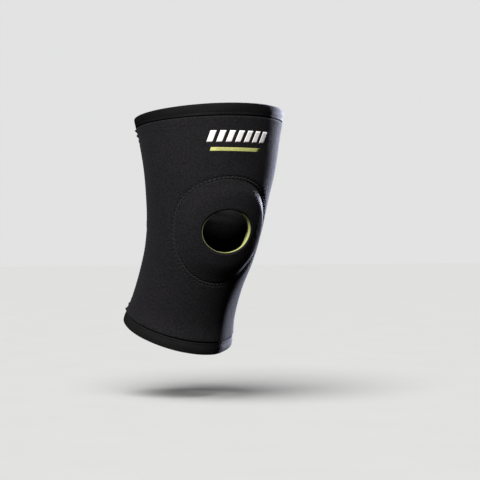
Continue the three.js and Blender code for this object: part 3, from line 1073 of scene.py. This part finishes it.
def stretch_tape(name, dark, light):
    """Woven polyamide and elastane edge tape. To the eye: smoother and blacker than the jersey,
    with fine ribs across it."""
    material, tree = new_material(name)
    run = add_node(tree, "ShaderNodeUVMap", uv_map="run").outputs["UV"]
    place = add_node(tree, "ShaderNodeTexCoord").outputs["Object"]
    # Ribs are 0.5 mm apart, drawn 1.4 mm apart.
    ribs = add_node(tree, "ShaderNodeTexWave", {
        "Vector": run, "Scale": WAVE_UNIT / TAPE_RIB, "Distortion": 0.5, "Detail": 1.0},
        bands_direction="X")
    grain = add_node(tree, "ShaderNodeTexNoise", {
        "Vector": place, "Scale": pattern_scale(TAPE_GRAIN), "Detail": 2.0, "Roughness": 0.6})
    base = add_node(tree, "ShaderNodeMix", {
        0: grain.outputs["Fac"], 6: linear(dark), 7: linear(light)}, data_type="RGBA")
    ribbed = add_node(tree, "ShaderNodeMix", {
        0: ribs.outputs["Fac"], 6: base.outputs[2], 7: linear(dark)}, data_type="RGBA")
    rough = add_node(tree, "ShaderNodeMapRange", {
        "Value": grain.outputs["Fac"], "From Min": 0.3, "From Max": 0.7, "To Min": 0.66, "To Max": 0.85})
    bump = add_node(tree, "ShaderNodeBump", {
        "Strength": 0.35, "Distance": 0.0003, "Height": ribs.outputs["Fac"]})
    return finish_material(material, {
        "Base Color": ribbed.outputs[2], "Roughness": rough.outputs["Result"], "IOR": 1.5,
        "Specular IOR Level": 0.12, "Normal": bump.outputs["Normal"]})


def polyester_thread(name, dark, light):
    """Bonded polyester sewing thread, twisted and dyed. To the eye: small raised cords with a
    slanted twist and a clearer gloss than the cloth."""
    material, tree = new_material(name)
    run = add_node(tree, "ShaderNodeUVMap", uv_map="run").outputs["UV"]
    slanted = add_node(tree, "ShaderNodeVectorRotate", {
        "Vector": run, "Angle": math.radians(THREAD_TWIST_ANGLE)}, rotation_type="Z_AXIS")
    # The twist is 0.35 mm a turn, drawn 0.7 mm a turn.
    twist = add_node(tree, "ShaderNodeTexWave", {
        "Vector": slanted.outputs["Vector"], "Scale": WAVE_UNIT / THREAD_TWIST}, bands_direction="X")
    colour = add_node(tree, "ShaderNodeMix", {
        0: twist.outputs["Fac"], 6: linear(dark), 7: linear(light)}, data_type="RGBA")
    bump = add_node(tree, "ShaderNodeBump", {
        "Strength": 0.6, "Distance": 0.0001, "Height": twist.outputs["Fac"]})
    return finish_material(material, {
        "Base Color": colour.outputs[2], "Roughness": 0.6, "IOR": 1.55, "Specular IOR Level": 0.2,
        "Normal": bump.outputs["Normal"]})


def transfer_print(name, worn, fresh):
    """Heat-transfer film pressed into the knit. To the eye: flat, even colour with a faint grain of
    the cloth under it and a low gloss."""
    material, tree = new_material(name)
    place = add_node(tree, "ShaderNodeTexCoord").outputs["Object"]
    grain = add_node(tree, "ShaderNodeTexNoise", {
        "Vector": place, "Scale": pattern_scale(PRINT_GRAIN), "Detail": 3.0, "Roughness": 0.7})
    wear = add_node(tree, "ShaderNodeMapRange", {
        "Value": grain.outputs["Fac"], "From Min": 0.35, "From Max": 0.6})
    colour = add_node(tree, "ShaderNodeMix", {
        0: wear.outputs["Result"], 6: linear(worn), 7: linear(fresh)}, data_type="RGBA")
    bump = add_node(tree, "ShaderNodeBump", {
        "Strength": 0.3, "Distance": 0.0002, "Height": grain.outputs["Fac"]})
    return finish_material(material, {
        "Base Color": colour.outputs[2], "Roughness": 0.5, "IOR": 1.5, "Specular IOR Level": 0.4,
        "Normal": bump.outputs["Normal"]})


def studio_floor():
    """Matt painted board, very pale. To the eye: even and soft, with a barely visible grain."""
    material, tree = new_material("matt_painted_board")
    place = add_node(tree, "ShaderNodeTexCoord").outputs["Object"]
    grain = add_node(tree, "ShaderNodeTexNoise", {
        "Vector": place, "Scale": pattern_scale(FLOOR_GRAIN), "Detail": 4.0})
    colour = add_node(tree, "ShaderNodeMix", {
        0: grain.outputs["Fac"], 6: linear(FLOOR_PAINT[0]), 7: linear(FLOOR_PAINT[1])}, data_type="RGBA")
    return finish_material(material, {
        "Base Color": colour.outputs[2], "Roughness": 0.85, "Specular IOR Level": 0.2})


# Studio
def make_floor():
    bpy.ops.mesh.primitive_plane_add(size=FLOOR_SIZE, location=(0, 0, FLOOR_LEVEL))
    floor = bpy.context.object
    floor.name = "studio_floor"
    floor.data.materials.append(studio_floor())
    floor.visible_diffuse = False
    floor.visible_glossy = False
    return floor


def direction(azimuth, elevation):
    """Direction towards a place. Azimuth is from the front towards +X, elevation above the floor."""
    a, e = math.radians(azimuth), math.radians(elevation)
    return Vector((math.sin(a) * math.cos(e), -math.cos(a) * math.cos(e), math.sin(e)))


def add_sun(pieces, name, azimuth, elevation, strength, softness, colour):
    """A soft lamp far off that lights these pieces alone, as a lamp with a flag beside it does."""
    lamp = bpy.data.lights.new(name, "SUN")
    lamp.energy = strength
    lamp.angle = math.radians(softness)
    lamp.color = linear(colour)[:3]
    made = bpy.data.objects.new(name, lamp)
    made.rotation_euler = direction(azimuth, elevation).to_track_quat("Z", "Y").to_euler()
    bpy.context.scene.collection.objects.link(made)
    lit = bpy.data.collections.new("lit_by_" + name)
    for piece in pieces:
        lit.objects.link(piece)
    made.light_linking.receiver_collection = lit


def make_world():
    """A pale backdrop all round, and a dim even light from it."""
    world = bpy.data.worlds.new("studio_air")
    world.use_nodes = True
    tree = world.node_tree
    tree.nodes.clear()
    path = add_node(tree, "ShaderNodeLightPath")
    air = add_node(tree, "ShaderNodeBackground", {"Color": linear(AIR_COLOUR), "Strength": AIR_STRENGTH})
    backdrop = add_node(tree, "ShaderNodeBackground", {"Color": linear(BACKDROP_COLOUR), "Strength": 1.0})
    seen = add_node(tree, "ShaderNodeMixShader", {
        0: path.outputs["Is Camera Ray"], 1: air.outputs["Background"], 2: backdrop.outputs["Background"]})
    add_node(tree, "ShaderNodeOutputWorld", {"Surface": seen.outputs["Shader"]})
    bpy.context.scene.world = world


def make_camera():
    """The camera that the photograph was taken with, at its real viewing angle."""
    back = direction(CAMERA_AZIMUTH, CAMERA_ELEVATION)
    right = direction(CAMERA_AZIMUTH + 90, 0)
    up = back.cross(right)
    pixel = CAMERA_DISTANCE * SENSOR_WIDTH / (CAMERA_LENS * IMAGE_SIZE)
    aside = (IMAGE_SIZE / 2 - LEG_MIDDLE_PIXEL[0]) * pixel
    below = (IMAGE_SIZE / 2 - LEG_MIDDLE_PIXEL[1]) * pixel
    data = bpy.data.cameras.new("camera")
    data.lens = CAMERA_LENS
    data.sensor_width = SENSOR_WIDTH
    camera = bpy.data.objects.new("camera", data)
    camera.location = LEG_MIDDLE + back * CAMERA_DISTANCE
    aim = LEG_MIDDLE + right * aside - up * below
    camera.rotation_euler = (aim - camera.location).to_track_quat("-Z", "Y").to_euler()
    bpy.context.scene.collection.objects.link(camera)
    bpy.context.scene.camera = camera


def declare(piece, slot_name, *nodes):
    """Rides a piece on the part's one body, and hides the model's solids that it stands for."""
    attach(piece, "root")
    if nodes:
        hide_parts(*nodes)
    return piece


def build():
    make_camera()
    jersey = knitted_neoprene()
    foam = lime_foam()
    # Lit and shaded copies of one black tape: painted shade on the thigh, painted light on the calf
    thigh_tape = stretch_tape("black_polyamide_stretch_tape_shaded", *THIGH_TAPE_SHADED)
    calf_tape = stretch_tape("black_polyamide_stretch_tape_lit", *CALF_TAPE_LIT)
    grey_thread = polyester_thread("charcoal_polyester_thread", *GREY_THREAD)
    black_thread = polyester_thread("black_polyester_thread", *BLACK_THREAD)
    white_film = transfer_print("white_transfer_film", *PRINT_WHITE)
    lime_film = transfer_print("lime_transfer_film", *PRINT_LIME)
    sleeve = declare(make_sleeve(jersey), "knitted_neoprene", "sleeve")
    pad = declare(make_pad(foam), "lime_pad", "kneecap_pad")
    on_cloth = [
        declare(make_tape("thigh_edge_tape", True, thigh_tape), "stretch_tape", "thigh_binding"),
        declare(make_tape("calf_edge_tape", False, calf_tape), "stretch_tape", "calf_binding"),
        declare(make_field_thread(grey_thread), "knitted_neoprene"),
        declare(make_seam_thread(grey_thread), "knitted_neoprene"),
        declare(make_tape_thread("thigh_tape_stitching", True, black_thread), "stretch_tape"),
        declare(make_tape_thread("calf_tape_stitching", False, black_thread), "stretch_tape"),
        declare(make_print("thigh_print_bars", slanted_bars(), white_film), "knitted_neoprene"),
        declare(make_print("thigh_print_line", [LINE_CORNERS], lime_film), "knitted_neoprene"),
    ]
    floor = make_floor()
    make_world()
    for lamp in BRACE_LAMPS:
        add_sun([sleeve, pad] + on_cloth, **lamp)
    add_sun([floor], **FLOOR_LAMP)
    bpy.context.scene.view_settings.view_transform = "Standard"


build()
